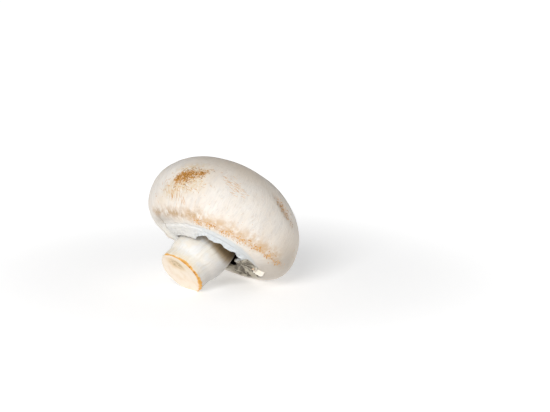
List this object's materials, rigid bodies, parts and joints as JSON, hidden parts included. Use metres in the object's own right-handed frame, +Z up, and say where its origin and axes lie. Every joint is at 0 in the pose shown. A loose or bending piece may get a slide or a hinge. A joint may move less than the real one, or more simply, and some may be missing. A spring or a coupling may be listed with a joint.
{
  "type": "button mushroom",
  "caption": "Whole white button mushroom lying on its side, with a domed cap, a torn veil over its gills and a short, leaning, cleanly cut stem.",
  "frame": {"origin": "centre of the bounding box on the surface that the mushroom lies on", "axes": "+Z up, away from that surface; the crown points up towards +X and +Y, the cut stem down towards -X and -Y, and the torn side of the veil faces -Y"},
  "size_m": [0.047, 0.048, 0.041],
  "materials": {
    "flesh": "matte, silky white flesh",
    "gills": "matte, pinkish brown"
  },
  "bodies": {
    "root": {"cap_and_stem": "flesh", "gills": "gills"}
  },
  "joints": []
}
